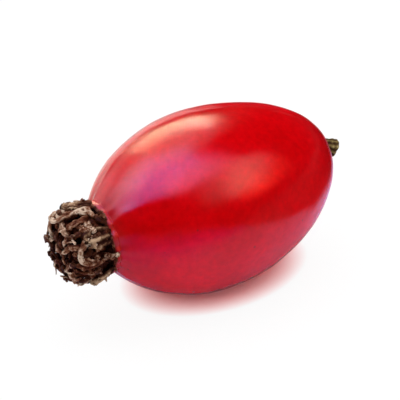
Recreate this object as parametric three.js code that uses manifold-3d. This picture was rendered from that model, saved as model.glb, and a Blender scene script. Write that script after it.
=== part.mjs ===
// A rose hip as picked, lying on its side on a level surface.
//
// The fleshy hip is an egg-shaped body with a flat neck at its calyx end. On the neck sits the dried
// crown of the flower: five withered sepal bases at the rim, a woody disc inside them, three rings of
// dried stamen filaments that curl in over each other, and the tuft of styles in the middle. A short,
// bent stub of the stalk is left at the other end.
//
// Millimetres, +Z up, +X towards the stalk. The origin is at the bottom centre of the whole hip's box.
import * as THREE from "three";
import { LoftGeometry } from "three/addons/geometries/LoftGeometry.js";
import { mergeVertices } from "three/addons/utils/BufferGeometryUtils.js";
import Module from "manifold-3d";

const wasm = await Module();
wasm.setup();

// ---- driving dimensions ----------------------------------------------------------------------

const BODY_RADIUS = 7.75; // at the widest section
const STALK_SIDE = 12.4; // from the widest section to the pole where the stalk leaves
const STALK_BLUNTNESS = 1.82; // 2 would make the stalk side half an ellipsoid
const CALYX_SIDE = 11.6; // from the widest section to where the calyx side would close
const CALYX_TAPER = 1.95;
const CALYX_POINT = 0.62; // 0.5 would round that side off like an ellipsoid, 1 would point it
const BOW = 0.0035; // how much each end of the hip turns up, over the square of the way there
const FOOT_DEPTH = 0.32; // height of the resting face over the bottom of a circle of that radius

const NECK_AT = 10.2; // from the widest section to the neck, where the calyx side is cut off
const NECK_LEAN = 0.15; // radians, by which the neck and the crown on it lean to one side
const NECK_LEAN_AXIS = new THREE.Vector3(0, -0.5, -0.87).normalize();
const LIP = 0.2; // radius of the rounded lip at the neck

const STALK_SEAT = 0.95; // radius of the flat spot that the stalk stands on
const STALK_LENGTH = 1.2;
const STALK_RADIUS = 0.62;
const STALK_BEND = 0.5; // how far the broken end stands to one side
const STALK_BEND_TURN = -0.84; // to which side, from straight down

const DISC_RADIUS = 2.55;
const DISC_THICKNESS = 0.45;
const DISH_RADIUS = 0.85; // the hollow in the disc that the styles come out of
const DISH_DEPTH = 0.22;
const CROWN_HEIGHT = 4.05; // over which the crown swells out and comes in again
const STYLE_HEIGHT = 3.7;

const SEPALS = 5;
const FIRST_SEPAL = 0.3; // the angle at which the first one stands, from straight up

const GAP = 0.04; // clear space between pieces that meet face to face

// ---- helpers ---------------------------------------------------------------------------------

// A repeatable number from -1 to 1 for each n, which makes no two dried pieces alike.
function vary(n) {
  const wave = Math.sin(n * 127.1 + 11.7) * 43758.5453;
  return 2 * (wave - Math.floor(wave)) - 1;
}

function material(colour, roughness) {
  return new THREE.MeshStandardMaterial({ color: colour, roughness, metalness: 0 });
}

function named(name, geometry, look) {
  const mesh = new THREE.Mesh(geometry, look);
  mesh.name = name;
  return mesh;
}

// A closed geometry as a manifold-3d solid.
function solidOf(geometry) {
  const bare = new THREE.BufferGeometry();
  bare.setAttribute("position", geometry.getAttribute("position"));
  bare.setIndex(geometry.getIndex());
  const merged = mergeVertices(bare, 1e-4);
  return new wasm.Manifold(
    new wasm.Mesh({
      numProp: 3,
      vertProperties: merged.attributes.position.array,
      triVerts: new Uint32Array(merged.index.array),
    }),
  );
}

// A manifold-3d solid as a geometry.
function geometryOf(solid) {
  const mesh = solid.getMesh();
  const geometry = new THREE.BufferGeometry();
  geometry.setAttribute("position", new THREE.BufferAttribute(mesh.vertProperties, 3));
  geometry.setIndex(new THREE.BufferAttribute(mesh.triVerts, 1));
  geometry.computeVertexNormals();
  return geometry;
}

// ---- the fleshy body -------------------------------------------------------------------------

// The body's radius at x, measured from the widest section, before its lobes.
function bodyRadius(x) {
  if (x < 0) {
    return BODY_RADIUS * (1 - (-x / CALYX_SIDE) ** CALYX_TAPER) ** CALYX_POINT;
  }
  return BODY_RADIUS * Math.sqrt(1 - (x / STALK_SIDE) ** STALK_BLUNTNESS);
}

// A hip isn't quite round: its section has faint lobes, which fade out towards both ends.
function lobes(angle, radius) {
  const fade = (radius / BODY_RADIUS) ** 2;
  return 1 + fade * (0.01 * Math.cos(2 * angle + 0.5) + 0.006 * Math.cos(3 * angle + 2.1));
}

function bodyCentre(x) {
  return new THREE.Vector3(x, 0, BOW * x * x);
}

// The body's section at x. Towards the neck the sections lean more and more, as the neck does.
function bodyRing(x, radius, lift = 0) {
  const sides = 44;
  const lean = x < 0 ? NECK_LEAN * (x / NECK_AT) ** 4 : 0;
  return Array.from({ length: sides }, (_, side) => {
    const angle = (2 * Math.PI * side) / sides;
    const r = radius * lobes(angle, radius);
    return new THREE.Vector3(-lift, r * Math.cos(angle), r * Math.sin(angle))
      .applyAxisAngle(NECK_LEAN_AXIS, lean)
      .add(bodyCentre(x));
  });
}

// Where on the stalk side the body has narrowed to the flat spot that the stalk stands on.
const SEAT_AT = STALK_SIDE * (1 - (STALK_SEAT / BODY_RADIUS) ** 2) ** (1 / STALK_BLUNTNESS);

function makeBody() {
  const calyxSteps = 10;
  const stalkSteps = 12;
  const neckRadius = bodyRadius(-NECK_AT);
  const neckTurn = Math.asin(NECK_AT / CALYX_SIDE);
  const seatTurn = Math.asin(SEAT_AT / STALK_SIDE);

  const rings = [bodyRing(-NECK_AT, neckRadius - LIP, LIP)];
  rings.push(bodyRing(-NECK_AT, neckRadius - LIP * (1 - Math.SQRT1_2), LIP * Math.SQRT1_2));
  for (let i = 0; i <= calyxSteps; i++) {
    const x = -CALYX_SIDE * Math.sin(neckTurn * (1 - i / calyxSteps));
    rings.push(bodyRing(x, bodyRadius(x)));
  }
  for (let i = 1; i <= stalkSteps; i++) {
    const x = STALK_SIDE * Math.sin((seatTurn * i) / stalkSteps);
    rings.push(bodyRing(x, bodyRadius(x)));
  }
  const whole = solidOf(new LoftGeometry(rings, { capStart: true, capEnd: true }));

  // the slab takes off the face that the hip rests on
  const slab = new THREE.BoxGeometry(4 * STALK_SIDE, 4 * BODY_RADIUS, 2 * BODY_RADIUS);
  slab.translate(0, 0, FOOT_DEPTH - 2 * BODY_RADIUS);
  const rested = whole.subtract(solidOf(slab));
  return named("hip_body", geometryOf(rested), material("#c3061a", 0.28));
}

// ---- the stub of the stalk -------------------------------------------------------------------

// Stands on its own z = 0 along +Z and leans towards +X: flared at the hip, ragged where it broke.
function makeStalk() {
  const sides = 14;
  const profile = [
    { at: 0, girth: 1.42 },
    { at: 0.1, girth: 1.14 },
    { at: 0.3, girth: 1.0 },
    { at: 0.62, girth: 0.98 },
    { at: 0.86, girth: 1.08 },
    { at: 0.97, girth: 1.0 },
    { at: 1, girth: 0.72 },
  ];
  const rings = profile.map(({ at, girth }, ring) => {
    const lean = Math.atan((2 * STALK_BEND * at) / STALK_LENGTH);
    return Array.from({ length: sides }, (_, side) => {
      const angle = (2 * Math.PI * side) / sides;
      const ragged = at === 0 ? 0 : 0.05 * vary(side + sides * ring);
      const broken = at > 0.9 ? 0.07 * vary(side) : 0;
      const r = STALK_RADIUS * (girth + ragged);
      return new THREE.Vector3(r * Math.cos(angle), r * Math.sin(angle), broken)
        .applyAxisAngle(new THREE.Vector3(0, 1, 0), lean)
        .add(new THREE.Vector3(STALK_BEND * at * at, 0, STALK_LENGTH * at));
    });
  });
  return named("stalk_stub", new LoftGeometry(rings, { capStart: true, capEnd: true }), material("#6b5a2a", 0.7));
}

// ---- the dried crown of the flower -----------------------------------------------------------
// Everything here stands on z = 0, the neck of the hip, and points along +Z. Angles go round it.

function makeDisc() {
  const floor = DISC_THICKNESS - DISH_DEPTH;
  const profile = [
    [0, 0],
    [DISC_RADIUS, 0],
    [DISC_RADIUS, 0.6 * DISC_THICKNESS],
    [DISC_RADIUS - 0.08, DISC_THICKNESS],
    [DISH_RADIUS, DISC_THICKNESS],
    [DISH_RADIUS - 0.15, floor],
    [0, floor],
  ];
  const disc = new THREE.LatheGeometry(profile.map(([r, y]) => new THREE.Vector2(r, y)), 36);
  disc.rotateX(Math.PI / 2);
  return named("calyx_disc", disc, material("#2c1a12", 0.85));
}

// The styles are matted into one short column with a knobbly head.
function makeStyles() {
  const foot = DISC_THICKNESS - DISH_DEPTH + GAP;
  const profile = [
    [0, foot],
    [0.46, foot],
    [0.4, foot + 0.5 * STYLE_HEIGHT],
    [0.58, foot + 0.72 * STYLE_HEIGHT],
    [0.66, foot + 0.85 * STYLE_HEIGHT],
    [0.5, foot + 0.95 * STYLE_HEIGHT],
    [0, foot + STYLE_HEIGHT],
  ];
  const styles = new THREE.LatheGeometry(profile.map(([r, y]) => new THREE.Vector2(r, y)), 12);
  styles.rotateX(Math.PI / 2);
  return named("style_tuft", styles, material("#4a3524", 0.9));
}

// The middle line of one dried organ: it swells out with the crown, and its tip curls in over the crown.
function spine(organ, t) {
  const along = organ.reach * Math.sin(organ.arch * t);
  const swell = Math.sin((Math.PI * along) / (CROWN_HEIGHT - organ.foot));
  const radius = organ.root + organ.bulge * swell - organ.curl * t ** 3;
  const angle = organ.angle + organ.sway * t * t;
  return new THREE.Vector3(radius * Math.cos(angle), radius * Math.sin(angle), along);
}

// A sepal base or a filament: a flattened section swept along its spine, cupped round the crown,
// narrower towards the tip, and twisted a little.
function sweep(organ, steps, sides) {
  const rings = [];
  for (let i = 0; i <= steps; i++) {
    const t = i / steps;
    const centre = spine(organ, t);
    const tangent = spine(organ, Math.min(1, t + 0.01))
      .sub(spine(organ, Math.max(0, t - 0.01)))
      .normalize();
    const turn = organ.angle + organ.sway * t * t;
    const round = new THREE.Vector3(-Math.sin(turn), Math.cos(turn), 0);
    const out = new THREE.Vector3().crossVectors(round, tangent).normalize();
    const side = new THREE.Vector3().crossVectors(tangent, out);
    const tip = i === steps ? 0.5 : 1;
    const halfThickness = organ.halfThickness * tip;
    const halfWidth = organ.halfWidth * (1 - organ.taper * t) * tip;
    const twist = organ.twist * t;
    rings.push(
      Array.from({ length: sides }, (_, corner) => {
        const beta = (2 * Math.PI * corner) / sides;
        const thick = halfThickness * Math.cos(beta);
        const wide = halfWidth * Math.sin(beta);
        const outward = thick * Math.cos(twist) - wide * Math.sin(twist);
        const sideways = thick * Math.sin(twist) + wide * Math.cos(twist);
        return centre
          .clone()
          .addScaledVector(out, outward - organ.cup * sideways ** 2)
          .addScaledVector(side, sideways);
      }),
    );
  }
  const geometry = new LoftGeometry(rings, { capStart: true, capEnd: true });
  geometry.translate(0, 0, organ.foot);
  return geometry;
}

function sepal(index) {
  return {
    foot: 0,
    angle: FIRST_SEPAL + (2 * Math.PI * index) / SEPALS + 0.04 * vary(index),
    root: 2.78,
    bulge: 0.65,
    curl: 0.05 * vary(index + 5),
    reach: 2.15 + 0.3 * vary(index + 10),
    arch: 0.5 * Math.PI,
    sway: 0.08 * vary(index + 15),
    halfWidth: 0.95,
    halfThickness: 0.14,
    cup: 0.16,
    taper: 0.62,
    twist: 0.08 * vary(index + 20),
  };
}

// Each ring of filaments: how many, where they stand, and how they curl. The filaments of the outer
// ring that stand behind a sepal bulge out less than those between two sepals.
const RINGS = [
  { name: "outer", count: 20, root: 2.3, bulges: [0.55, 0.72, 1.0, 0.72], curl: 0.35, reach: 3.15, halfWidth: 0.26 },
  { name: "middle", count: 14, root: 1.75, bulges: [0.15], curl: 0.4, reach: 3.3, halfWidth: 0.24 },
  { name: "inner", count: 9, root: 1.22, bulges: [0.05], curl: 0.2, reach: 3.32, halfWidth: 0.23 },
];

function filament(ring, ringIndex, index) {
  const seed = 100 * (ringIndex + 1) + index;
  return {
    foot: DISC_THICKNESS + GAP,
    angle: FIRST_SEPAL + (2 * Math.PI * index) / ring.count + 0.035 * vary(seed),
    root: ring.root,
    bulge: ring.bulges[index % ring.bulges.length] * (1 + 0.06 * vary(seed + 20)),
    curl: ring.curl * (1 + 0.1 * vary(seed + 40)),
    reach: ring.reach + 0.06 * vary(seed + 60),
    arch: 0.58 * Math.PI,
    sway: 0.08 * vary(seed + 80),
    halfWidth: ring.halfWidth,
    halfThickness: 0.15,
    cup: 0,
    taper: 0.25,
    twist: 0.35 * vary(seed + 90),
  };
}

function makeCrown() {
  const crown = new THREE.Group();
  const driedSepal = material("#6a4a33", 0.85);
  const driedFilament = material("#46301f", 0.8);
  crown.add(makeDisc(), makeStyles());
  for (let i = 0; i < SEPALS; i++) {
    crown.add(named(`sepal_${i + 1}`, sweep(sepal(i), 7, 12), driedSepal));
  }
  RINGS.forEach((ring, ringIndex) => {
    for (let i = 0; i < ring.count; i++) {
      const number = String(i + 1).padStart(2, "0");
      const geometry = sweep(filament(ring, ringIndex, i), 8, 6);
      crown.add(named(`stamen_${ring.name}_${number}`, geometry, driedFilament));
    }
  });
  return crown;
}

// ---- the whole hip ---------------------------------------------------------------------------

const stalk = new THREE.Group();
stalk.add(makeStalk());
stalk.rotation.set(0, Math.PI / 2, STALK_BEND_TURN); // its +Z along the hip's +X
stalk.position.copy(bodyCentre(SEAT_AT)).add(new THREE.Vector3(GAP, 0, 0));

const crown = makeCrown();
crown.rotation.set(0, -Math.PI / 2, 0); // its +Z along the hip's -X, its +X straight up
crown.rotateOnWorldAxis(NECK_LEAN_AXIS, NECK_LEAN);
crown.position.copy(bodyCentre(-NECK_AT));
crown.translateZ(LIP + GAP);

const roseHip = new THREE.Group();
roseHip.add(makeBody(), stalk, crown);

// the bottom centre of the box becomes the origin
const bounds = new THREE.Box3().setFromObject(roseHip, true);
const middle = bounds.getCenter(new THREE.Vector3());
roseHip.position.set(-middle.x, -middle.y, BODY_RADIUS - FOOT_DEPTH);

export default roseHip;
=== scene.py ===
# A rose hip as picked, on a pale studio floor: the skin, the dried crown of the flower and the
# stub of the stalk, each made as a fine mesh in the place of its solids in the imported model.
import math

import bmesh
import bpy
from mathutils import Matrix, Vector, noise


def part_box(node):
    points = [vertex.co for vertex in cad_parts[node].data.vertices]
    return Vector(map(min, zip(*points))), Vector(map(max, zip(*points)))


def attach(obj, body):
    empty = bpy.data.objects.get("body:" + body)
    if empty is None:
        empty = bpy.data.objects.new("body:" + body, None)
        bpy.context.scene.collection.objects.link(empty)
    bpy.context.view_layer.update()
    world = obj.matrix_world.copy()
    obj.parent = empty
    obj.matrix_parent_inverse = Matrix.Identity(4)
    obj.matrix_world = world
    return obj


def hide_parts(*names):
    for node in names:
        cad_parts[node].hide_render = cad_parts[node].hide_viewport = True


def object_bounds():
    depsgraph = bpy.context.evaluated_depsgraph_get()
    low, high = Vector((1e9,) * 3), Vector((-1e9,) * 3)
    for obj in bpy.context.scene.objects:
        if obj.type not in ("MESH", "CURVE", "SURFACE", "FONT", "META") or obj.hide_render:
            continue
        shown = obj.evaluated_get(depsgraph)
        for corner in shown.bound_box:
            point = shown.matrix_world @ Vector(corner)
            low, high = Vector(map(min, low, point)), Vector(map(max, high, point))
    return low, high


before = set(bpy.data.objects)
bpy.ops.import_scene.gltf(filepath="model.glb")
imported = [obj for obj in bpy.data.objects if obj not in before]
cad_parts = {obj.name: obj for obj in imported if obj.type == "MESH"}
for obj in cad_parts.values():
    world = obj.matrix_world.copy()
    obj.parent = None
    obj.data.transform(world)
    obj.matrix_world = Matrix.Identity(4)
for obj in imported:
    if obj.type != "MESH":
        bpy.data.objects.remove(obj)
cad_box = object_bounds()

MM = 0.001  # shapes are worked out in millimetres and built in metres
TAU = 2 * math.pi
GOLDEN = 0.618  # of a turn: steps of it spread things evenly all round

# ---- the hip's dimensions in millimetres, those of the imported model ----

BODY_RADIUS = 7.75  # at the widest section
STALK_SIDE = 12.4  # from the widest section to the pole where the stalk leaves
STALK_BLUNTNESS = 1.82  # 2 would make the stalk side half an ellipsoid
CALYX_SIDE = 11.6  # from the widest section to where the calyx side would close
CALYX_TAPER = 1.95
CALYX_POINT = 0.62  # 0.5 would round that side off like an ellipsoid, 1 would point it
BOW = 0.0035  # how much each end of the hip turns up, over the square of the way there
FOOT_DEPTH = 0.32  # height of the resting face over the bottom of a circle of that radius

NECK_AT = 10.2  # from the widest section to the neck, where the calyx side is cut off
NECK_LEAN = 0.15  # radians, by which the neck and the crown on it lean to one side
NECK_LEAN_AXIS = Vector((0, -0.5, -0.87)).normalized()
LIP = 0.2  # radius of the rounded lip at the neck

STALK_SEAT = 0.95  # radius of the flat spot that the stalk stands on
STALK_LENGTH = 1.2
STALK_RADIUS = 0.62
STALK_BEND = 0.5  # how far the broken end stands to one side
STALK_BEND_TURN = -0.84  # to which side, from straight down

DISC_RADIUS = 2.55
DISC_THICKNESS = 0.45
DISH_RADIUS = 0.85  # the hollow in the disc that the styles come out of
DISH_DEPTH = 0.22
CROWN_HEIGHT = 4.05  # over which the crown swells out and comes in again
STYLE_HEIGHT = 3.7
SEPALS = 5
FIRST_SEPAL = 0.3  # the angle at which the first one stands, from straight up
GAP = 0.04  # clear space between pieces that meet face to face

SEAT_AT = STALK_SIDE * (1 - (STALK_SEAT / BODY_RADIUS) ** 2) ** (1 / STALK_BLUNTNESS)

OUTER_BULGES = (0.55, 0.72, 1.0, 0.72)  # the outer stamens take these in turn
STAMEN_RINGS = (
    dict(name="outer", count=20, root=2.3, bulges=OUTER_BULGES, curl=0.35, reach=3.15, half_width=0.26),
    dict(name="middle", count=14, root=1.75, bulges=(0.15,), curl=0.4, reach=3.3, half_width=0.24),
    dict(name="inner", count=9, root=1.22, bulges=(0.05,), curl=0.2, reach=3.32, half_width=0.23),
)

# ---- dimensions of the fine detail, in millimetres -------------------

SKIN_AROUND = 256  # points in each of the skin's rings
SKIN_CALYX_STEPS = 92
SKIN_STALK_STEPS = 96
SKIN_DENTS = 0.075  # depth of the broad dents that make the reflections wander
SKIN_DENT_SIZE = 3.4
SKIN_RIPPLE = 0.018
SKIN_RIPPLE_SIZE = 1.1
COLLAR = (  # the flesh's edge round the crown: radius, height over the neck, and how brown it is
    (2.80, 0.20, 1.0),
    (2.86, 0.31, 1.0),
    (2.90, 0.40, 1.0),
    (2.96, 0.45, 0.95),
    (3.03, 0.45, 0.9),
    (3.08, 0.40, 0.78),
    (3.11, 0.32, 0.62),
    (3.12, 0.22, 0.48),
    (3.12, 0.11, 0.38),
    (3.10, 0.03, 0.30),
)
COLLAR_LUMPS = 0.05
COLLAR_LUMP_SIZE = 0.5
NECK_PLEATS = 17
NECK_PLEAT_DEPTH = 0.07
NECK_PLEAT_REACH = 1.1
NECK_BROWN = 0.3  # how brown the skin is where it meets the collar
NECK_BROWN_REACH = 0.4
SEAT_PLEATS = 9
SEAT_PLEAT_DEPTH = 0.05
SEAT_PLEAT_REACH = 0.7
SEAT_BROWN_REACH = 0.25
PLEAT_WANDER = 1.3  # radians by which the pleats stray from straight lines
PLEAT_WANDER_SIZE = 2.5

SCAR_RADIUS = 2.94
SCAR_HEIGHT = 0.24  # over the neck
SCAR_THICKNESS = 0.12  # radius of the scar's own section

DOME_RADIUS = 3.46  # of the dome that the crown's strands are pressed into
DOME_HEIGHT = 4.3
DOME_POWER = 4  # 2 would make it half an ellipsoid, more makes it squarer
DOME_LUMPS = 0.3
DOME_LUMP_SIZE = 0.45  # as a share of the dome
STRANDS = 22  # long loose ones over the model's stamens
HAIRPINS = 8  # those of them that turn back
CURLS = 56  # short ones that lie curled up among them
DEEP_CURLS = 76  # more of them that lie deeper and close the gaps
KNOB_AT = (51, 18)  # degrees of steepness and angle on the dome, where the crown has a knob
KNOB_HEIGHT = 0.5
KNOB_WIDTH = 7  # degrees
GRAINS = 30  # shrivelled anthers that lie loose among them
STRAND_SEED = 500  # where the repeatable numbers of each kind start
CURL_SEED = 2500
DEEP_CURL_SEED = 4100
GRAIN_SEED = 1000
PATCHES = 0.78  # how much paler and darker than the mean the crown's broad patches are
PATCH_SIZE = 1.0
PALEST = 1.15  # the highest factor that the painted depth shade gives a shade where it stands out over the dome, besides those patches
DEPTH_OF_DARK = 0.55  # how far under the dome the painted shade is darkest

# ---- colours of the dried parts --------------------------------------

# Each has its roughness, the size and depth of its grain in millimetres, and its colours from
# the darkest shade, 0, to the palest, 1.
DRIED_LOOKS = {
    "dried_filament": (0.5, 0.14, 0.02, (
        (0.0, (0.012, 0.002, 0.0006)),
        (0.3, (0.056, 0.013, 0.005)),
        (0.55, (0.15, 0.054, 0.028)),
        (0.8, (0.31, 0.18, 0.12)),
        (1.0, (0.57, 0.42, 0.32)),
    )),
    "dried_anther": (0.36, 0.1, 0.015, (
        (0.0, (0.012, 0.002, 0.0006)),
        (0.4, (0.034, 0.009, 0.0035)),
        (0.7, (0.105, 0.042, 0.023)),
        (1.0, (0.26, 0.17, 0.12)),
    )),
    "dried_sepal": (0.6, 0.16, 0.025, (
        (0.0, (0.008, 0.002, 0.001)),
        (0.3, (0.034, 0.010, 0.005)),
        (0.6, (0.14, 0.070, 0.038)),
        (1.0, (0.46, 0.31, 0.20)),
    )),
    "neck_scar": (0.6, 0.16, 0.025, (
        (0.0, (0.02, 0.003, 0.002)),
        (0.45, (0.07, 0.014, 0.009)),
        (0.8, (0.20, 0.075, 0.045)),
        (1.0, (0.40, 0.21, 0.13)),
    )),
    "dried_disc": (0.7, 0.12, 0.02, (
        (0.0, (0.010, 0.005, 0.003)),
        (0.5, (0.07, 0.032, 0.018)),
        (1.0, (0.2, 0.11, 0.07)),
    )),
    "matted_styles": (0.75, 0.1, 0.03, (
        (0.0, (0.02, 0.012, 0.008)),
        (0.5, (0.12, 0.08, 0.05)),
        (1.0, (0.32, 0.25, 0.18)),
    )),
    "stalk_bark": (0.6, 0.15, 0.02, (
        (0.0, (0.028, 0.013, 0.005)),
        (0.4, (0.11, 0.072, 0.026)),
        (0.75, (0.26, 0.20, 0.075)),
        (1.0, (0.42, 0.35, 0.18)),
    )),
}

# ---- the studio ------------------------------------------------------

CAMERA_AZIMUTH = -36
CAMERA_ELEVATION = 33
CAMERA_LENS = 700  # mm: the hip is seen from far away
VIEW_WIDTH = 33.5  # mm of the scene, across the picture

# Softboxes, which only the gloss shows: degrees round from the camera, elevation, width and
# height in degrees as seen from the hip, and radiance. 1 is as bright as white paper.
SOFTBOXES = {
    "overhead_violet": (-78, 74, 48, 54, (0.8, 1.6, 5.5)),
    "overhead_right": (50, 74, 44, 34, (5.6, 1.4, 2.3)),
    "left_violet": (-100, 50, 46, 32, (3.6, 3.6, 4.2)),
    "left_neck": (-126, 16, 30, 20, (4.5, 1.8, 2.0)),
    "back_low": (-148, 8, 30, 24, (2.6, 1.1, 0.95)),
    "back_warm": (-160, 46, 50, 34, (2.6, 1.4, 1.3)),
    "back_core": (-164, 24.5, 30, 24, (9.4, 6.0, 3.9)),
    "back_glow": (-179, 36, 14, 27, (8.4, 5.8, 4.7)),
    "back_top": (-145, 66, 40, 26, (4.2, 2.2, 2.2)),
    "right_warm": (73, 42, 46, 30, (5.6, 2.3, 1.9)),
    "right_red": (78, 27, 42, 26, (8.4, 0.25, 0.15)),
}
SOFTBOX_SHEETS = ((1.2, 0.34), (0.95, 0.36), (0.66, 0.3))  # size and share of the light of each
SOFTBOX_AWAY = 0.5  # metres from the hip
SUN_AWAY = 0.3  # metres: where the suns' symbols stand, as only their directions count
DARK = 0.01  # of the unlit room between the softboxes
HORIZON = 0.005  # how high the white behind the floor reaches in the gloss, where 1 is overhead

FLOOR_ALBEDO = 0.98
FLOOR_LIFT = 0.93  # how strongly the paper glows white for the camera beside the hip
SHADOW_LIFT = 0.08  # and in the middle of the hip's shadow, where the glow is a painted red
SHADOW_PALENESS = 0.1  # how pale the painted glow is there, where it is nearly pure red
SHADOW_CENTRE = (1.4, 0.0)  # mm on the floor, of the place where the hip's shadow shows in full
SHADOW_STRETCH = 1.45  # along the hip
SHADOW_INSIDE = 2.7  # mm from that centre across the hip, where the shadow starts to fade
SHADOW_OUTSIDE = 6.35

# The floor's colours in the gloss, near the hip and further out, as seen from the camera.
NEAR_BEHIND = (0.85, 0.46, 0.4, 1)
NEAR_BEFORE = (0.6, 0.58, 1.0, 1)
NEAR_RIGHT = (0.8, 0.5, 0.84, 1)
OUT_BEFORE = (0.9, 0.05, 0.85, 1)
FAR_BEFORE = (0.4, 0.0, 0.4, 1)
FAR_BEHIND_LEFT = (1.0, 0.75, 0.72, 1)
FAR_BEHIND_RIGHT = (0.35, 0.02, 0.03, 1)
FAR_RIGHT = (0.3, 0.005, 0.01, 1)
IN_SHADOW = (0.9, 1.0, 1.0, 1)


# ---- meshes ----------------------------------------------------------


def vary(n):
    """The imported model's repeatable number from -1 to 1 for each n."""
    wave = math.sin(n * 127.1 + 11.7) * 43758.5453
    return 2 * (wave - math.floor(wave)) - 1


def rough(point, size, seed=0.0):
    """Smooth noise from -1 to 1 over features of that size. Another seed gives other noise."""
    return noise.noise(point / size + Vector((seed * 7.3, seed * 3.1, seed * 5.7)))


def rotated(out, side, angle):
    """Two directions at a right angle, both turned by an angle in their own plane."""
    c, s = math.cos(angle), math.sin(angle)
    return out * c + side * s, side * c - out * s


def spoke(angle):
    return Vector((math.cos(angle), math.sin(angle), 0))


def new_object(name, data):
    made = bpy.data.objects.new(name, data)
    bpy.context.scene.collection.objects.link(made)
    return made


class Shape:
    """Closed forms on their way into one mesh. Each point has a shade, which the materials read."""

    def __init__(self, rings=()):
        self.points = []
        self.faces = []
        self.shades = []
        if rings:
            self.loft(rings)

    def add(self, point, shade):
        self.points.append(point)
        self.shades.append(shade)

    def loft(self, rings):
        """Skins rings of equally many points, each with its shade, and closes both ends."""
        sides = len(rings[0])
        start = len(self.points)
        for ring in rings:
            for point, shade in ring:
                self.add(point, shade)
        for level in range(len(rings) - 1):
            low = start + level * sides
            for side in range(sides):
                after = (side + 1) % sides
                self.faces.append((low + side, low + after, low + sides + after, low + sides + side))
        last = start + (len(rings) - 1) * sides
        for first, ring in ((start, rings[0]), (last, rings[-1])):
            centre = len(self.points)
            middle = sum((point for point, _ in ring), Vector()) / sides
            self.add(middle, sum(shade for _, shade in ring) / sides)
            for side in range(sides):
                self.faces.append((centre, first + side, first + (side + 1) % sides))

    def build(self, name, place, look, stands_for=()):
        """Makes the object: its points, in millimetres, go where the matrix says."""
        mesh = bpy.data.meshes.new(name)
        mesh.from_pydata([(place @ point) * MM for point in self.points], [], self.faces)
        form = bmesh.new()
        form.from_mesh(mesh)
        bmesh.ops.recalc_face_normals(form, faces=form.faces)
        form.to_mesh(mesh)
        form.free()
        mesh.shade_smooth()
        shade = mesh.attributes.new("shade", "FLOAT", "POINT")
        shade.data.foreach_set("value", self.shades)
        mesh.materials.append(look)
        piece = new_object(name, mesh)
        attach(piece, "root")
        if stands_for:
            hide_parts(*stands_for)


# ---- the fleshy body -------------------------------------------------


def body_radius(x):
    if x < 0:
        return BODY_RADIUS * (1 - (-x / CALYX_SIDE) ** CALYX_TAPER) ** CALYX_POINT
    return BODY_RADIUS * math.sqrt(1 - (x / STALK_SIDE) ** STALK_BLUNTNESS)


def lobes(angle, radius):
    """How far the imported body's section departs from a circle, as a factor."""
    fade = (radius / BODY_RADIUS) ** 2
    return 1 + fade * (0.01 * math.cos(2 * angle + 0.5) + 0.006 * math.cos(3 * angle + 2.1))


def body_centre(x):
    return Vector((x, 0, BOW * x * x))


def skin_relief(x, angle, point):
    """How far the skin stands out: broad dents, a fine ripple, and pleats at the neck and the stalk."""
    dents = SKIN_DENTS * rough(point, SKIN_DENT_SIZE, 1)
    ripple = SKIN_RIPPLE * rough(point, SKIN_RIPPLE_SIZE, 2)
    wander = PLEAT_WANDER * rough(point, PLEAT_WANDER_SIZE, 3)
    neck = math.exp(-(x + NECK_AT) / NECK_PLEAT_REACH)
    seat = math.exp(-(SEAT_AT - x) / SEAT_PLEAT_REACH)
    neck_pleats = NECK_PLEAT_DEPTH * neck * math.cos(NECK_PLEATS * angle + 2 * wander)
    seat_pleats = SEAT_PLEAT_DEPTH * seat * math.cos(SEAT_PLEATS * angle + wander)
    return dents + ripple + neck_pleats + seat_pleats


def skin_ring(x, radius, lift=0.0, worn=0.0):
    """A ring of the skin. Its shade is 1 at the crown and at the stalk, and fades to 0 elsewhere."""
    turn = Matrix.Rotation(NECK_LEAN * (x / NECK_AT) ** 4 if x < 0 else 0, 3, NECK_LEAN_AXIS)
    foot = FOOT_DEPTH - BODY_RADIUS
    at_neck = NECK_BROWN * math.exp(-(x + NECK_AT) / NECK_BROWN_REACH)
    at_seat = math.exp(-(SEAT_AT - x) / SEAT_BROWN_REACH)
    ring = []
    for side in range(SKIN_AROUND):
        angle = TAU * side / SKIN_AROUND
        flat = Vector((0, math.cos(angle), math.sin(angle)))
        r = radius * lobes(angle, radius)
        r += skin_relief(x, angle, body_centre(x) + flat * r)
        if lift > 0:
            r += COLLAR_LUMPS * rough(flat * radius + Vector((2 * lift, 0, 0)), COLLAR_LUMP_SIZE, 4)
        point = turn @ (flat * r - Vector((lift, 0, 0))) + body_centre(x)
        point.z = max(point.z, foot)
        ring.append((point, max(worn, at_neck, at_seat)))
    return ring


def make_skin(look, place):
    neck_turn = math.asin(NECK_AT / CALYX_SIDE)
    seat_turn = math.asin(SEAT_AT / STALK_SIDE)
    rings = [skin_ring(-NECK_AT, radius, height, worn) for radius, height, worn in COLLAR]
    for step in range(SKIN_CALYX_STEPS + 1):
        x = -CALYX_SIDE * math.sin(neck_turn * (1 - step / SKIN_CALYX_STEPS))
        rings.append(skin_ring(x, body_radius(x)))
    for step in range(1, SKIN_STALK_STEPS + 1):
        x = STALK_SIDE * math.sin(seat_turn * step / SKIN_STALK_STEPS)
        rings.append(skin_ring(x, body_radius(x)))
    Shape(rings).build("hip_skin", place, look, ["hip_body"])


# ---- the stub of the stalk -------------------------------------------


def stub_radius(at):
    """The stub's smooth radius as a factor, where 0 is at the hip and 1 at the broken end."""
    flare = 0.42 * math.exp(-at / 0.09)
    swell = 0.1 * math.exp(-(((at - 0.88) / 0.12) ** 2))
    return 1.12 + flare + swell


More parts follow.
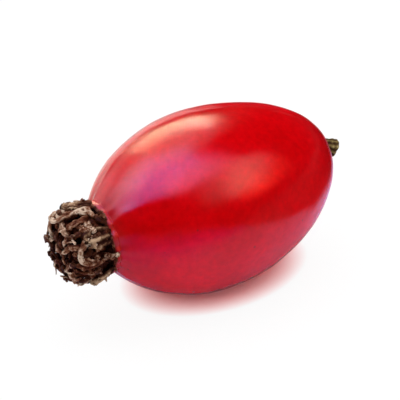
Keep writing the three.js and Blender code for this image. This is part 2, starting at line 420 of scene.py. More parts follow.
def make_stub(look, place):
    """A ridged little stalk, flared at the hip and ragged where it broke."""
    steps = 44
    sides = 48
    ridges = 9
    ridge_height = 0.07  # of the stalk's radius
    bark_height = 0.12
    round_from = 0.9  # of its length, where the broken end starts to round off
    round_over = 0.14
    tear = 0.13
    rings = []
    for step in range(steps + 1):
        at = step / steps
        broken = at > round_from
        end = math.sqrt(max(0, 1 - ((at - round_from) / round_over) ** 2)) if broken else 1
        lean = Matrix.Rotation(math.atan(2 * STALK_BEND * at / STALK_LENGTH), 3, "Y")
        middle = Vector((STALK_BEND * at * at, 0, 1.1 * STALK_LENGTH * at))
        ring = []
        for side in range(sides):
            angle = TAU * side / sides
            flat = spoke(angle)
            spot = flat * 0.9 + Vector((0, 0, 2.2 * at))
            ridge = math.cos(ridges * angle + 2 * rough(spot, 1.0, 11))
            bark = ridge_height * ridge + bark_height * rough(spot, 0.35, 12)
            r = STALK_RADIUS * (stub_radius(at) + bark) * end
            torn = tear * rough(flat, 0.5, 13) if broken else 0
            # painted shade: paler on the ridges, darker between them and towards the hip; the broken end
            # itself is darker in colour
            shade = 0.5 + 0.35 * ridge + 0.4 * rough(spot, 0.3, 14) - 0.6 * math.exp(-at / 0.5)
            shade -= 0.5 if at > 0.97 else 0
            ring.append((lean @ (flat * r + Vector((0, 0, torn))) + middle, shade))
        rings.append(ring)
    Shape(rings).build("stalk_bark", place, look, ["stalk_stub"])


# ---- the dried crown, in its own frame: z = 0 at the neck, +Z outwards ----


def turned(profile, sides, wrinkle, size, seed):
    """Rings of a turned profile of (radius, height), with wrinkles."""
    rings = []
    for radius, height in profile:
        ring = []
        for side in range(sides):
            angle = TAU * side / sides
            flat = spoke(angle)
            spot = flat * radius + Vector((0, 0, height))
            fold = rough(spot, size, seed)
            point = spot + (flat + Vector((0, 0, 0.4))) * wrinkle * fold * min(1, radius / 0.3)
            # painted shade: paler where the wrinkles stand out, darker in their hollows
            ring.append((point, 0.45 + 0.5 * fold))
        rings.append(ring)
    return rings


def resampled(profile, spacing):
    """The same outline with points no further apart than the spacing."""
    fine = [profile[0]]
    for (r0, z0), (r1, z1) in zip(profile, profile[1:]):
        count = max(1, math.ceil(math.hypot(r1 - r0, z1 - z0) / spacing))
        for step in range(1, count + 1):
            fine.append((r0 + (r1 - r0) * step / count, z0 + (z1 - z0) * step / count))
    return fine


def make_disc(look, place):
    """The woody disc, wrinkled all over, with a hollow where the styles come out."""
    pole = 0.02  # radius of the first and last ring
    outline = [
        (pole, 0.02),
        (DISC_RADIUS - 0.1, 0.02),
        (DISC_RADIUS, 0.1),
        (DISC_RADIUS, DISC_THICKNESS - 0.12),
        (DISC_RADIUS - 0.15, DISC_THICKNESS),
        (DISH_RADIUS + 0.1, DISC_THICKNESS),
        (DISH_RADIUS - 0.15, DISC_THICKNESS - DISH_DEPTH),
        (pole, DISC_THICKNESS - DISH_DEPTH),
    ]
    rings = turned(resampled(outline, 0.09), sides=96, wrinkle=0.05, size=0.25, seed=21)
    Shape(rings).build("calyx_disc_dried", place, look, ["calyx_disc"])


def make_scar(look, place):
    """The scar round the neck where the flower's cup dried: a thin, lumpy ring."""
    around = 220
    sides = 12
    lump_height = 0.06
    shape = Shape()
    for step in range(around):
        turn = TAU * step / around
        out = spoke(turn)
        for side in range(sides):
            angle = TAU * side / sides
            spot = out * (SCAR_RADIUS + math.cos(angle) * SCAR_THICKNESS)
            spot += Vector((0, 0, SCAR_HEIGHT + math.sin(angle) * SCAR_THICKNESS))
            lump = rough(spot, 0.32, 31) + 0.6 * rough(spot, 0.13, 32)
            away = out * math.cos(angle) + Vector((0, 0, math.sin(angle)))
            # painted shade: paler where the lumps stand out, darker between them
            shape.add(spot + away * lump_height * lump, 0.55 + 0.5 * lump)
            after_step = (step + 1) % around
            after_side = (side + 1) % sides
            shape.faces.append((
                step * sides + side,
                step * sides + after_side,
                after_step * sides + after_side,
                after_step * sides + side,
            ))
    shape.build("neck_scar", place, look)


def spine(organ, t):
    """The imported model's middle line of one dried organ."""
    along = organ["reach"] * math.sin(organ["arch"] * t)
    swell = math.sin(math.pi * along / (CROWN_HEIGHT - organ["foot"]))
    radius = organ["root"] + organ["bulge"] * swell - organ["curl"] * t**3
    angle = organ["angle"] + organ["sway"] * t * t
    return Vector((radius * math.cos(angle), radius * math.sin(angle), along + organ["foot"]))


def organ_frames(organ, steps):
    """Shares of an organ's length with the middle and the directions outwards and sideways there."""
    frames = []
    for step in range(steps + 1):
        t = step / steps
        centre = spine(organ, t)
        tangent = (spine(organ, min(1, t + 0.01)) - spine(organ, max(0, t - 0.01))).normalized()
        turn = organ["angle"] + organ["sway"] * t * t
        round_way = Vector((-math.sin(turn), math.cos(turn), 0))
        out = round_way.cross(tangent).normalized()
        side = tangent.cross(out)
        frames.append((t, centre, *rotated(out, side, organ["twist"] * t)))
    return frames


def sepal(index):
    """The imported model's sizes of a sepal, each a little different."""
    return {
        "foot": 0,
        "angle": FIRST_SEPAL + TAU * index / SEPALS + 0.04 * vary(index),
        "root": 2.78,
        "bulge": 0.65,
        "curl": 0.05 * vary(index + 5),
        "reach": 2.15 + 0.3 * vary(index + 10),
        "arch": 0.5 * math.pi,
        "sway": 0.08 * vary(index + 15),
        "half_width": 0.95,
        "half_thickness": 0.14,
        "cup": 0.16,
        "twist": 0.08 * vary(index + 20),
    }


def make_sepal(index, look, place):
    """A withered sepal base: folded lengthwise, wrinkled, and torn off in a ragged edge."""
    organ = sepal(index)
    steps = 50
    sides = 72
    pleats = 1.2  # folds across it
    pleat_height = 0.1
    wrinkle_height = 0.13
    tear = 0.9
    rings = []
    for t, centre, out, side in organ_frames(organ, steps):
        along = side.cross(out)
        fray = 1 - 0.45 * max(0, (t - 0.85) / 0.15) ** 2
        half_width = organ["half_width"] * (1 - 0.3 * t) * fray
        half_width *= 1 + 0.2 * rough(Vector((t * 3, 0, 0)), 0.35, 41 + index)
        ring = []
        for corner in range(sides):
            beta = TAU * corner / sides
            across = math.sin(beta)
            face = math.cos(beta)
            sideways = half_width * across
            spot = Vector((sideways, t * 2.4, index * 9.0))
            wander = 3.2 * rough(spot, 1.3, 45)
            pleat = math.cos(pleats * TAU * across + wander)
            wrinkle = rough(spot, 0.42, 46) + 0.5 * rough(spot, 0.18, 44)
            thick = organ["half_thickness"] * 0.75 * face * (1 - 0.35 * t)
            lift = pleat_height * pleat + wrinkle_height * wrinkle + 0.2 * t * t * rough(spot, 0.8, 47)
            torn = tear * rough(Vector((across * 2, index, 0)), 0.3, 48) * max(0, t - 0.6) / 0.4
            outwards = out * (thick + lift - organ["cup"] * sideways**2)
            point = centre + outwards + side * sideways + along * torn
            # painted shade: paler where pleats and wrinkles stand out, darker in their folds and deep under
            # the dome, besides a tone of each sepal's own
            shade = 0.5 + 0.22 * pleat + 0.5 * wrinkle + 0.1 * vary(index + 60)
            ring.append((point, shade * painted_depth_shade(point)))
        rings.append(ring)
    name = f"sepal_{index + 1}"
    Shape(rings).build(f"{name}_withered", place, look, [name])


def filament(ring, seed, index):
    """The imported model's sizes of a stamen's filament, each a little different."""
    return {
        "foot": DISC_THICKNESS + GAP,
        "angle": FIRST_SEPAL + TAU * index / ring["count"] + 0.035 * vary(seed),
        "root": ring["root"],
        "bulge": ring["bulges"][index % len(ring["bulges"])] * (1 + 0.06 * vary(seed + 20)),
        "curl": ring["curl"] * (1 + 0.1 * vary(seed + 40)),
        "reach": ring["reach"] + 0.06 * vary(seed + 60),
        "arch": 0.58 * math.pi,
        "sway": 0.08 * vary(seed + 80),
        "half_width": ring["half_width"],
        "twist": 0.35 * vary(seed + 90),
    }


def dome_level(flat, height):
    """0 in the middle of the crown's foot and 1 on its dome, that far from the axis and that high."""
    return ((flat / DOME_RADIUS) ** DOME_POWER + (height / DOME_HEIGHT) ** DOME_POWER) ** (1 / DOME_POWER)


def painted_depth_shade(point):
    """Painted shade of the dried tissue: about 1 on the crown's outside, down to 0 in the depth under the
    dome, times broad paler and darker patches.
    """
    level = dome_level(math.hypot(point.x, point.y), max(point.z, 0))
    patch = 1 + PATCHES * rough(point, PATCH_SIZE, 71)
    return patch * max(0, min(PALEST, 1 - (1 - level) * DOME_RADIUS / DEPTH_OF_DARK))


def on_dome(steepness, angle, sink):
    """A point that much under the crown's lumpy dome, at that steepness seen from its foot."""
    c, s = math.cos(steepness), math.sin(steepness)
    way = Vector((c * math.cos(angle), c * math.sin(angle), s))
    reach = ((c / DOME_RADIUS) ** DOME_POWER + (s / DOME_HEIGHT) ** DOME_POWER) ** (-1 / DOME_POWER)
    steep, turn = (math.radians(value) for value in KNOB_AT)
    knob_way = Vector((math.cos(steep) * math.cos(turn), math.cos(steep) * math.sin(turn), math.sin(steep)))
    knob = KNOB_HEIGHT * math.exp(-((way.angle(knob_way) / math.radians(KNOB_WIDTH)) ** 2) / 2)
    return way * (reach - sink + knob + DOME_LUMPS * rough(way, DOME_LUMP_SIZE, 65))


def dome_normal(point):
    """The direction outwards from the dome at a point."""
    flat = math.hypot(point.x, point.y)
    outward = (flat / DOME_RADIUS) ** (DOME_POWER - 1) / DOME_RADIUS
    upward = (max(point.z, 0) / DOME_HEIGHT) ** (DOME_POWER - 1) / DOME_HEIGHT
    radial = Vector((point.x, point.y, 0)) / max(flat, 1e-6)
    return (radial * outward + Vector((0, 0, upward))).normalized()


def strand_width(t, seed):
    """Three factors of a strand's width along it: its unevenness, its taper and its rounded end."""
    width = 1 + 0.32 * rough(Vector((t * 3, seed, 0)), 0.4, 64)
    root = min(1, 0.6 + 3 * t)
    taper = 1 - 0.5 * max(0, (t - 0.45) / 0.55) ** 1.5
    tip = math.sqrt(max(0.05, 1 - max(0, (t - 0.93) / 0.07) ** 2))
    return width, root * taper, tip


def add_strand(shape, line, half_width, flatness, seed, tone, sides=16, lean=0.0):
    """A dried strand along a line of points: wrinkled, grooved down its back, thinner at its end."""
    groove_depth = 0.36
    groove_width = 0.3  # as the sine of the angle round the strand
    crease_depth = 0.42
    steps = len(line) - 1
    rings = []
    for step, centre in enumerate(line):
        t = step / steps
        tangent = (line[min(steps, step + 1)] - line[max(0, step - 1)]).normalized()
        side = tangent.cross(dome_normal(centre)).normalized()
        out = side.cross(tangent)
        tilt = lean + 0.7 * rough(Vector((t * 2, seed, 0)), 0.8, 63)
        tilted_out, tilted_side = rotated(out, side, tilt)
        uneven, tapered, tip = strand_width(t, seed)
        width = half_width * uneven * tapered * tip
        ring = []
        for corner in range(sides):
            beta = TAU * corner / sides
            spot = Vector((math.cos(beta), math.sin(beta), 9 * t))
            crease = rough(spot, 0.9, seed * 0.37) + 0.6 * rough(spot, 0.4, seed * 0.37 + 1)
            on_back = math.cos(beta) > 0
            groove = groove_depth * math.exp(-((math.sin(beta) / groove_width) ** 2)) if on_back else 0
            swell = 1 + crease_depth * crease
            thick = flatness * width * (math.cos(beta) * swell - groove)
            point = centre + tilted_out * thick + tilted_side * (width * math.sin(beta) * swell)
            # painted shade: paler where the strand swells out, darker in its groove down the back, and
            # darker deep under the dome
            ring.append((point, (tone + 0.5 * crease - 0.3 * groove) * painted_depth_shade(point)))
        rings.append(ring)
    shape.loft(rings)


def make_filament(ring, ring_index, index, look, place):
    """One of the model's stamens, wrinkled and a little bent aside."""
    seed = 100 * (ring_index + 1) + index
    organ = filament(ring, seed, index)
    steps = 34
    line = []
    for t, centre, out, side in organ_frames(organ, steps):
        bend = Vector((t * 2.2, 0, seed * 1.7))
        line.append(centre + side * 0.16 * t * rough(bend, 0.6, 51) + out * 0.1 * t * rough(bend, 0.5, 52))
    shape = Shape()
    tone = 0.5 + 0.2 * vary(seed + 130)
    add_strand(shape, line, organ["half_width"], 0.6, seed, tone, sides=14, lean=organ["twist"])
    name = f"stamen_{ring['name']}_{index + 1:02d}"
    shape.build(f"{name}_dried", place, look, [name])


def loose_line(index, seed):
    """The course of a loose strand: it climbs the dome askew, and a hairpin turns back down."""
    steps = 44
    start = TAU * ((index * GOLDEN) % 1)
    swirl = 0.25 + 0.85 * vary(seed + 100)
    low = math.radians(15 + 9 * vary(seed + 200))
    high = math.radians(52 + 20 * vary(seed + 300))
    turn_at = 0.58 + 0.1 * vary(seed + 350)  # of its length, where a hairpin turns back
    sink = 0.26 + 0.24 * vary(seed + 400)
    flick = -0.3 if vary(seed + 900) > 0.3 else 0.3  # how much deeper its end lies
    line = []
    for step in range(steps + 1):
        t = step / steps
        if index >= HAIRPINS:
            climb = t
            angle = start + swirl * t * (0.5 + 0.5 * t)
        else:
            if t < turn_at:
                climb = math.sin(math.pi / 2 * (t / turn_at))
            else:
                climb = math.cos(math.pi / 2 * (t - turn_at) / turn_at)
            sideways = 0.34 * math.copysign(1, swirl) / (1 + math.exp(-(t - turn_at) / 0.07))
            angle = start + 0.5 * swirl * t + sideways
        spot = Vector((t * 2.8, seed * 1.3, 0))
        angle += 0.13 * rough(spot, 0.6, 61) + 0.05 * rough(spot, 0.2, 66)
        depth = sink + 0.16 * rough(spot, 0.5, 62) + 0.07 * rough(spot, 0.2, 67)
        depth += 0.3 * (1 - t) ** 4
        depth += flick * max(0, t - 0.8) / 0.2
        line.append(on_dome(low + (high - low) * climb, angle, depth))
    return line


def curl_line(index, count, seed, deeper):
    """The course of a short strand that lies curled up somewhere on the dome, one end sticking out."""
    steps = 26
    steepness = math.asin(0.1 + 0.88 * (index + 0.5) / count)
    spot = on_dome(steepness, TAU * ((index * GOLDEN + 0.11) % 1), 0.2 + deeper)
    across = Vector((vary(seed), vary(seed + 100), vary(seed + 200)))
    heading = dome_normal(spot).cross(across).normalized()
    stride = (1.9 + 0.7 * vary(seed + 300)) / steps
    bend = 1.2 * vary(seed + 400)  # radians a millimetre
    sink = 0.3 + 0.18 * vary(seed + 500) + deeper
    line = []
    for step in range(steps + 1):
        t = step / steps
        flat = math.hypot(spot.x, spot.y)
        wave = rough(Vector((t * 2.2, seed * 1.1, 0)), 0.6, 68)
        depth = sink + 0.3 * wave - 0.32 * max(0, t - 0.75) / 0.25 + 0.3 * max(0, 0.2 - t) / 0.2
        line.append(on_dome(math.atan2(max(0.25, spot.z), flat), math.atan2(spot.y, spot.x), depth))
        out = dome_normal(spot)
        heading = Matrix.Rotation((bend + 3 * wave) * stride, 3, out) @ heading
        heading = (heading - out * heading.dot(out)).normalized()
        spot = spot + heading * stride
    return line


def make_loose_strands(look, place):
    """The dried filaments that lie over the others and make the crown's ridges."""
    shape = Shape()
    tips = []
    for index in range(CURLS):
        seed = CURL_SEED + index
        half_width = 0.2 + 0.08 * vary(seed + 600)
        line = curl_line(index, CURLS, seed, deeper=0)
        add_strand(shape, line, half_width, 0.7, seed, 0.8 + 0.3 * vary(seed + 700), sides=12)
    for index in range(DEEP_CURLS):
        seed = DEEP_CURL_SEED + index
        line = curl_line(index, DEEP_CURLS, seed, deeper=0.5 + 0.25 * vary(seed + 800))
        add_strand(shape, line, 0.27, 0.6, seed, 0.7, sides=10)
    for index in range(STRANDS):
        seed = STRAND_SEED + index
        line = loose_line(index, seed)
        half_width = 0.21 + 0.07 * vary(seed + 500)
        tone = 0.78 + 0.24 * vary(seed + 600)
        add_strand(shape, line, half_width, 0.7, seed, tone, lean=0.5 * vary(seed + 700))
        tips.append((line[-1], seed))
    shape.build("loose_filaments", place, look)
    return tips


def add_anther(shape, tip, seed):
    """One shrivelled anther: a wrinkled grain with a waist between its two lobes."""
    rows = 12
    sides = 14
    pole = 0.04  # of the way round, where the first and last row stand
    half_thickness = 0.2
    half_width = 0.25
    half_length = 0.42 + 0.08 * vary(seed + 840)
    out = dome_normal(tip)
    side = out.cross(Vector((vary(seed + 810), vary(seed + 820), vary(seed + 830)))).normalized()
    along = side.cross(out)
    rings = []
    for row in range(rows + 1):
        turn = math.pi * (pole + 0.92 * row / rows)
        ring = []
        for corner in range(sides):
            beta = TAU * corner / sides
            lobe = 1 - 0.34 * math.exp(-((math.sin(beta) / 0.4) ** 2))
            flat = out * math.cos(beta) * half_thickness * lobe + side * math.sin(beta) * half_width
            spot = tip + out * 0.05 + along * half_length * math.cos(turn) + flat * math.sin(turn)
            fold = rough(spot, 0.16, 71)
            point = spot + (spot - tip) * 0.4 * fold
            # painted shade: paler where the grain's folds stand out, darker in them, and darker deep under
            # the dome
            ring.append((point, (0.5 + 0.5 * fold) * painted_depth_shade(point)))
        rings.append(ring)
    shape.loft(rings)


def make_anthers(tips, look, place):
    """Shrivelled anthers, dark two-lobed grains, at the ends of the loose filaments and between them."""
    grains = list(tips)
    for index in range(GRAINS):
        seed = GRAIN_SEED + index
        steepness = math.asin(0.18 + 0.8 * (index + 0.5) / GRAINS)
        around = TAU * ((index * GOLDEN + 0.3) % 1)
        grains.append((on_dome(steepness, around, 0.24 + 0.12 * vary(seed)), seed))
    shape = Shape()
    for tip, seed in grains:
        add_anther(shape, tip, seed)
    shape.build("dried_anthers", place, look)


def make_styles(look, place):
    """The styles, matted into a column with a knobbly head."""
    foot = DISC_THICKNESS - DISH_DEPTH + GAP
    pole = 0.02  # radius of the first and last ring
    outline = [
        (pole, foot),
        (0.46, foot),
        (0.4, foot + 0.5 * STYLE_HEIGHT),
        (0.58, foot + 0.72 * STYLE_HEIGHT),
        (0.66, foot + 0.85 * STYLE_HEIGHT),
        (0.5, foot + 0.95 * STYLE_HEIGHT),
        (pole, foot + STYLE_HEIGHT),
    ]
    rings = turned(resampled(outline, 0.08), sides=48, wrinkle=0.13, size=0.24, seed=81)
    Shape(rings).build("styles_matted", place, look, ["style_tuft"])


# ---- materials -------------------------------------------------------


def add_node(tree, kind, inputs=None, **settings):
    """A shader node with its settings, and its inputs by name or number: a value or a socket each."""
    made = tree.nodes.new("ShaderNode" + kind)
    for name, value in settings.items():
        setattr(made, name, value)
    for key, value in (inputs or {}).items():
        if isinstance(value, bpy.types.NodeSocket):
            tree.links.new(value, made.inputs[key])
        else:
            made.inputs[key].default_value = value
    return made


def new_material(name):
    look = bpy.data.materials.new(name)
    look.use_nodes = True
    look.node_tree.nodes.clear()
    return look, look.node_tree


def finish_material(tree, surface):
    output = tree.nodes.new("ShaderNodeOutputMaterial")
    tree.links.new(surface.outputs[0], output.inputs["Surface"])


def object_place(tree):
    """The shaded point in the object's own coordinates, in metres."""
    return add_node(tree, "TexCoord").outputs["Object"]


def noise_value(tree, size, detail=3, roughness=0.5):
    """Noise over features of that size in millimetres, about 0.5."""
    inputs = {"Vector": object_place(tree), "Scale": 1 / (size * MM), "Detail": detail}
    return add_node(tree, "TexNoise", {**inputs, "Roughness": roughness}).outputs["Fac"]


def stretched(tree, value, low, high, to_low=0.0, to_high=1.0, kind="LINEAR"):
    inputs = {"Value": value, "From Min": low, "From Max": high, "To Min": to_low, "To Max": to_high}
    return add_node(tree, "MapRange", inputs, clamp=True, interpolation_type=kind).outputs["Result"]


def spots(tree, place, spacing, inside, outside):
    """Spots about that far apart in millimetres: 1 inside a share of the spacing, and 0 outside another."""
    inputs = {"Vector": place, "Scale": 1 / (spacing * MM)}
    distance = add_node(tree, "TexVoronoi", inputs).outputs["Distance"]
    return stretched(tree, distance, inside, outside, 1.0, 0.0)


def mixed(tree, factor, first, second, blend="MIX"):
    """Mixes two colours. The sockets of a colour Mix node are the numbers 0, 6 and 7."""
    made = add_node(tree, "Mix", {0: factor, 6: first, 7: second}, data_type="RGBA", blend_type=blend)
    return made.outputs[2]


def maths(tree, operation, first, second):
    return add_node(tree, "Math", {0: first, 1: second}, operation=operation).outputs[0]


def along_way(tree, place, way):
    """How far a place lies from the middle along a direction."""
    return add_node(tree, "VectorMath", {0: place, 1: way}, operation="DOT_PRODUCT").outputs["Value"]


def any_ray(tree, path, *kinds):
    """1 for a ray of any of those kinds, and 0 for the others."""
    seen = path.outputs[kinds[0]]
    for kind in kinds[1:]:
        seen = maths(tree, "MAXIMUM", seen, path.outputs[kind])
    return seen


def shade_value(tree):
    return add_node(tree, "Attribute", attribute_name="shade").outputs["Fac"]


def ramp(tree, value, stops):
    """A colour ramp through stops of (position, colour)."""
    made = add_node(tree, "ValToRGB", {"Fac": value})
    elements = made.color_ramp.elements
    while len(elements) < len(stops):
        elements.new(0.5)
    for element, (position, colour) in zip(elements, stops):
        element.position = position
        element.color = (*colour, 1)
    return made.outputs["Color"]


def bump(tree, height, depth, strength=1.0):
    """A bump of that depth in millimetres."""
    inputs = {"Height": height, "Distance": depth * MM, "Strength": strength}
    return add_node(tree, "Bump", inputs).outputs["Normal"]


def skin_material():
    """Waxy red skin: mottled, with fine pores, duller and browner at the neck and the stalk, and darker
    there with painted shade.
    """
    look, tree = new_material("hip_skin")
    bright_red = (0.605, 0.0004, 0.003, 1)
    deep_red = (0.53, 0.0, 0.0015, 1)
    pore_red = (0.3, 0.0, 0.004, 1)
    speck_brown = (0.09, 0.015, 0.006, 1)
    worn_brown = (0.2, 0.022, 0.016, 1)
    black = (0, 0, 0, 1)

    clouds = stretched(tree, noise_value(tree, 3.6, 2), 0.36, 0.66)
    colour = mixed(tree, clouds, deep_red, bright_red)
    mottle = stretched(tree, noise_value(tree, 0.55, 4, 0.6), 0.3, 0.7, 0.85, 1.10)
    mottled = add_node(tree, "CombineColor", {0: mottle, 1: mottle, 2: mottle}).outputs[0]
    colour = mixed(tree, 1.0, colour, mottled, "MULTIPLY")

    place = object_place(tree)
    pore = spots(tree, place, 0.62, 0.05, 0.16)
    colour = mixed(tree, maths(tree, "MULTIPLY", pore, 0.35), colour, pore_red)
    speck = spots(tree, place, 3.1, 0.025, 0.045)
    colour = mixed(tree, maths(tree, "MULTIPLY", speck, 0.75), colour, speck_brown)

    along = add_node(tree, "SeparateXYZ", {0: place}).outputs["X"]
    # painted shade: the skin is mixed towards black near the crown
    painted_neck_shade = stretched(tree, along, -10.5 * MM, -5.5 * MM, 0.14, 0, "SMOOTHSTEP")
    colour = mixed(tree, painted_neck_shade, colour, black)
    # painted shade: and towards black near the stalk
    painted_stalk_shade = stretched(tree, along, 8.5 * MM, 12.5 * MM, 0, 0.5, "SMOOTHSTEP")
    colour = mixed(tree, painted_stalk_shade, colour, black)
    worn = shade_value(tree)
    fray = stretched(tree, noise_value(tree, 0.3, 3), 0.3, 0.7, 0.55, 1.0)
    colour = mixed(tree, maths(tree, "MULTIPLY", worn, fray), colour, worn_brown)

    wax = stretched(tree, noise_value(tree, 1.6, 3), 0.3, 0.7, 0.12, 0.18)
    relief = maths(tree, "ADD", noise_value(tree, 0.4, 3), maths(tree, "MULTIPLY", pore, -0.25))
    surface = add_node(tree, "BsdfPrincipled", {
        "Base Color": colour,
        "Roughness": maths(tree, "ADD", wax, maths(tree, "MULTIPLY", worn, 0.35)),
        "IOR": 1.4,
        "Normal": bump(tree, relief, 0.012, 0.5),
    })
    finish_material(tree, surface)
    return look


def dried_material(name, gloss, grain, depth, stops):
    """Dried plant tissue: the shade of each point, which holds painted shade besides the tissue's own tone,
    picks its colour, and a fine grain breaks it up.
    """
    look, tree = new_material(name)
    speckle = stretched(tree, noise_value(tree, grain, 4, 0.65), 0.25, 0.75, -0.22, 0.22)
    shade = maths(tree, "ADD", shade_value(tree), speckle)
    surface = add_node(tree, "BsdfPrincipled", {
        "Base Color": ramp(tree, shade, stops),
        "Roughness": stretched(tree, noise_value(tree, 3 * grain, 2), 0.3, 0.7, gloss - 0.1, gloss + 0.12),
        "IOR": 1.22,
        "Specular IOR Level": 0.12,
        "Normal": bump(tree, noise_value(tree, grain, 3, 0.6), depth),
    })
    finish_material(tree, surface)
    return look


def floor_gloss(tree, here):
    """The floor's colour in the gloss, where it stands for all that would lie round the hip."""
    front = direction(CAMERA_AZIMUTH, 0)
    right = direction(CAMERA_AZIMUTH + 90, 0)
    to_front = along_way(tree, here, front)
    to_back = along_way(tree, here, -front)
    to_right = along_way(tree, here, right)
    to_left_front = along_way(tree, here, (front - 0.5 * right).normalized())
    to_right_back = along_way(tree, here, (right - front).normalized())

    before = stretched(tree, to_front, -8 * MM, 6 * MM, kind="SMOOTHSTEP")
    gloss = mixed(tree, before, NEAR_BEHIND, NEAR_BEFORE)
    far_behind = mixed(tree, stretched(tree, to_right, -15 * MM, 0), FAR_BEHIND_LEFT, FAR_BEHIND_RIGHT)
    for distance, start, end, tint in (
        (to_right, 9, 13, NEAR_RIGHT),
        (to_left_front, 10, 26, OUT_BEFORE),
        (to_left_front, 26, 50, FAR_BEFORE),
        (to_back, 12, 30, far_behind),
    ):
        gloss = mixed(tree, stretched(tree, distance, start * MM, end * MM), gloss, tint)
    past_back = maths(tree, "SUBTRACT", to_right_back, 17.2 * MM)
    past_side = maths(tree, "SUBTRACT", to_right, 19 * MM)
    past_both = maths(tree, "MINIMUM", past_back, past_side)
    return mixed(tree, stretched(tree, past_both, -2.5 * MM, 2.5 * MM), gloss, FAR_RIGHT)


def from_shadow(tree, here):
    """How far a place lies from the middle of the hip's shadow, squeezed along the hip."""
    centre = (SHADOW_CENTRE[0] * MM, SHADOW_CENTRE[1] * MM, 0)
    offset = add_node(tree, "VectorMath", {0: here, 1: centre}, operation="SUBTRACT").outputs[0]
    squeeze = (1 / SHADOW_STRETCH, 1, 1)
    squeezed = add_node(tree, "VectorMath", {0: offset, 1: squeeze}, operation="MULTIPLY").outputs[0]
    return add_node(tree, "VectorMath", {0: squeezed}, operation="LENGTH").outputs["Value"]


def floor_material():
    """Pale paper. The camera sees it as white beside the hip, and it keeps the hip's shadow.

    Under the hip the camera sees a painted red glow, and further out a white one that fades the shadow. In
    the gloss the floor has rose, lavender and dark parts.
    """
    look, tree = new_material("paper_floor")
    path = add_node(tree, "LightPath")
    seen = any_ray(tree, path, "Is Camera Ray", "Is Glossy Ray", "Is Transmission Ray")
    pale = (FLOOR_ALBEDO, FLOOR_ALBEDO, FLOOR_ALBEDO, 1)
    colour = mixed(tree, seen, pale, (1, 1, 1, 1))
    here = object_place(tree)
    beside = from_shadow(tree, here)
    inside, outside = SHADOW_INSIDE * MM, SHADOW_OUTSIDE * MM
    lift = stretched(tree, beside, inside, outside, SHADOW_LIFT, FLOOR_LIFT, "SMOOTHSTEP")
    inside, outside = (SHADOW_INSIDE + 0.7) * MM, (SHADOW_OUTSIDE - 0.3) * MM
    paleness = stretched(tree, beside, inside, outside, SHADOW_PALENESS, 1)
    # painted glow: red in the middle of the hip's shadow, white further out
    glow = add_node(tree, "CombineColor", {0: 1.0, 1: paleness, 2: paleness}).outputs[0]
    gloss = mixed(tree, paleness, IN_SHADOW, floor_gloss(tree, here))
    colour = mixed(tree, path.outputs["Is Glossy Ray"], colour, gloss)
    paper = add_node(tree, "BsdfDiffuse", {"Color": colour})
    painted_glow = add_node(tree, "Emission", {"Color": glow})
    lifted = maths(tree, "MULTIPLY", path.outputs["Is Camera Ray"], lift)
    surface = add_node(tree, "MixShader", {0: lifted, 1: paper.outputs[0], 2: painted_glow.outputs[0]})
    finish_material(tree, surface)
    return look


# ---- camera, lamps and floor -----------------------------------------


def direction(azimuth, elevation):
    """From the hip towards a place in the studio. Azimuth 0 is -Y and 90 is +X, in degrees."""
    a, e = math.radians(azimuth), math.radians(elevation)
    return Vector((math.sin(a) * math.cos(e), -math.cos(a) * math.cos(e), math.sin(e)))


def aimed(name, data, towards, location):
    """A camera or lamp at a location that looks back along a direction."""
    thing = new_object(name, data)
    thing.location = location
    thing.rotation_mode = "QUATERNION"
    thing.rotation_quaternion = (-towards).to_track_quat("-Z", "Y")
    return thing


def make_camera():
    lens = bpy.data.cameras.new("camera")
    lens.lens = CAMERA_LENS
    lens.clip_start = 0.01
    lens.clip_end = 20
    low, high = cad_box
    back = direction(CAMERA_AZIMUTH, CAMERA_ELEVATION)
    distance = VIEW_WIDTH * MM * CAMERA_LENS / lens.sensor_width
    bpy.context.scene.camera = aimed("camera", lens, back, (low + high) / 2 + back * distance)


def make_sun(name, azimuth, elevation, spread, strength):
    """Soft light from a patch of sky as many degrees wide. It shades, and the gloss doesn't show it.

    A white surface that faces it renders that bright.
    """
    lamp = bpy.data.lights.new(name, "SUN")
    lamp.angle = math.radians(spread)
    lamp.energy = math.pi * strength * 2 / (1 + math.cos(lamp.angle / 2))
    lamp.cycles.use_multiple_importance_sampling = False
    towards = direction(azimuth, elevation)
    sun = aimed(name, lamp, towards, towards * SUN_AWAY)
    sun.visible_glossy = False


def make_softbox(name, azimuth, elevation, width, height, radiance):
    """A softbox as many degrees wide and high as seen from the hip, shown in the gloss only.

    Its diffuser is brightest in the middle: three sheets of light lie over each other.
    """
    towards = direction(azimuth, elevation)
    strongest = max(radiance)
    for sheet, (size, share) in enumerate(SOFTBOX_SHEETS):
        lamp = bpy.data.lights.new(f"{name}_{sheet + 1}", "AREA")
        lamp.shape = "ELLIPSE"
        lamp.size = 2 * SOFTBOX_AWAY * math.tan(math.radians(size * width / 2))
        lamp.size_y = 2 * SOFTBOX_AWAY * math.tan(math.radians(size * height / 2))
        lamp.color = [value / strongest for value in radiance]
        lamp.energy = math.pi * (math.pi / 4 * lamp.size * lamp.size_y) * strongest * share
        lamp.cycles.use_multiple_importance_sampling = False
        box = aimed(lamp.name, lamp, towards, towards * SOFTBOX_AWAY)
        box.visible_camera = False
        box.visible_diffuse = False


def make_lights():
    make_sun("key", CAMERA_AZIMUTH - 165, 74, spread=70, strength=0.78)
    make_sun("room", 0, 90, spread=170, strength=0.24)
    make_sun("front", CAMERA_AZIMUTH + 10, 20, spread=60, strength=0.06)
    for name, (round_from_camera, elevation, width, height, radiance) in SOFTBOXES.items():
        make_softbox(name, CAMERA_AZIMUTH + round_from_camera, elevation, width, height, radiance)


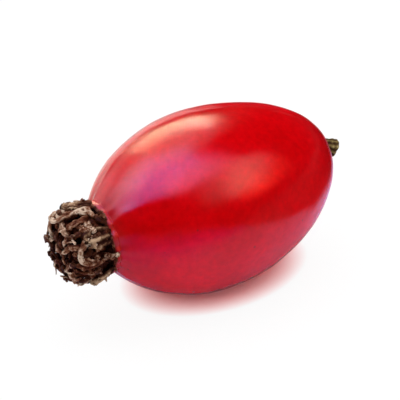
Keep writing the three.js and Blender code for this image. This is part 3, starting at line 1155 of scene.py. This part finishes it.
def make_world():
    """White where the camera looks past the floor. The gloss sees a thin strip of it over the horizon.

    For all other light the room is nearly dark.
    """
    world = bpy.data.worlds.new("studio")
    bpy.context.scene.world = world
    world.use_nodes = True
    world.cycles.sampling_method = "NONE"  # so each ray is told from the others by its kind
    tree = world.node_tree
    tree.nodes.clear()
    path = add_node(tree, "LightPath")
    height = add_node(tree, "SeparateXYZ", {0: add_node(tree, "TexCoord").outputs["Generated"]}).outputs["Z"]
    low = stretched(tree, height, 0.0, HORIZON, 1, 0)
    low_gloss = maths(tree, "MULTIPLY", path.outputs["Is Glossy Ray"], low)
    seen = any_ray(tree, path, "Is Camera Ray", "Is Transmission Ray")
    strength = maths(tree, "MAXIMUM", maths(tree, "MAXIMUM", seen, low_gloss), DARK)
    sky = add_node(tree, "Background", {"Color": (1, 1, 1, 1), "Strength": strength})
    output = tree.nodes.new("ShaderNodeOutputWorld")
    tree.links.new(sky.outputs[0], output.inputs["Surface"])


def make_floor():
    half = 4.0  # metres
    corners = [(-half, -half, 0), (half, -half, 0), (half, half, 0), (-half, half, 0)]
    mesh = bpy.data.meshes.new("floor")
    mesh.from_pydata(corners, [], [(0, 1, 2, 3)])
    mesh.materials.append(floor_material())
    floor = new_object("floor", mesh)


# ---- everything ------------------------------------------------------


def own_to_frame():
    """The move from the hip's own coordinates, with its widest section at x = 0, to the frame."""
    _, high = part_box("hip_body")
    cad_sides = 44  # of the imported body
    widest = max(
        BODY_RADIUS * lobes(TAU * side / cad_sides, BODY_RADIUS) * math.cos(TAU * side / cad_sides)
        for side in range(cad_sides)
    )
    return Matrix.Translation((high.x / MM - SEAT_AT, high.y / MM - widest, BODY_RADIUS - FOOT_DEPTH))


def crown_place():
    """The crown's frame in the hip's own coordinates."""
    outwards = Matrix(((0, 0, -1), (0, 1, 0), (1, 0, 0)))
    turn = Matrix.Rotation(NECK_LEAN, 3, NECK_LEAN_AXIS) @ outwards
    origin = body_centre(-NECK_AT) + turn @ Vector((0, 0, LIP + GAP))
    return Matrix.Translation(origin) @ turn.to_4x4()


def stalk_place():
    """The stub's frame in the hip's own coordinates: its +Z along the hip's +X."""
    along = Matrix.Rotation(math.pi / 2, 4, "Y") @ Matrix.Rotation(STALK_BEND_TURN, 4, "Z")
    return Matrix.Translation(body_centre(SEAT_AT) + Vector((GAP, 0, 0))) @ along


def make_hip():
    looks = {name: dried_material(name, *look) for name, look in DRIED_LOOKS.items()}
    home = own_to_frame()
    crown = home @ crown_place()
    make_skin(skin_material(), home)
    make_stub(looks["stalk_bark"], home @ stalk_place())
    make_disc(looks["dried_disc"], crown)
    make_scar(looks["neck_scar"], crown)
    make_styles(looks["matted_styles"], crown)
    for index in range(SEPALS):
        make_sepal(index, looks["dried_sepal"], crown)
    for ring_index, ring in enumerate(STAMEN_RINGS):
        for index in range(ring["count"]):
            make_filament(ring, ring_index, index, looks["dried_filament"], crown)
    tips = make_loose_strands(looks["dried_filament"], crown)
    make_anthers(tips, looks["dried_anther"], crown)


bpy.context.scene.view_settings.view_transform = "Standard"
make_camera()
make_hip()
make_floor()
make_lights()
make_world()
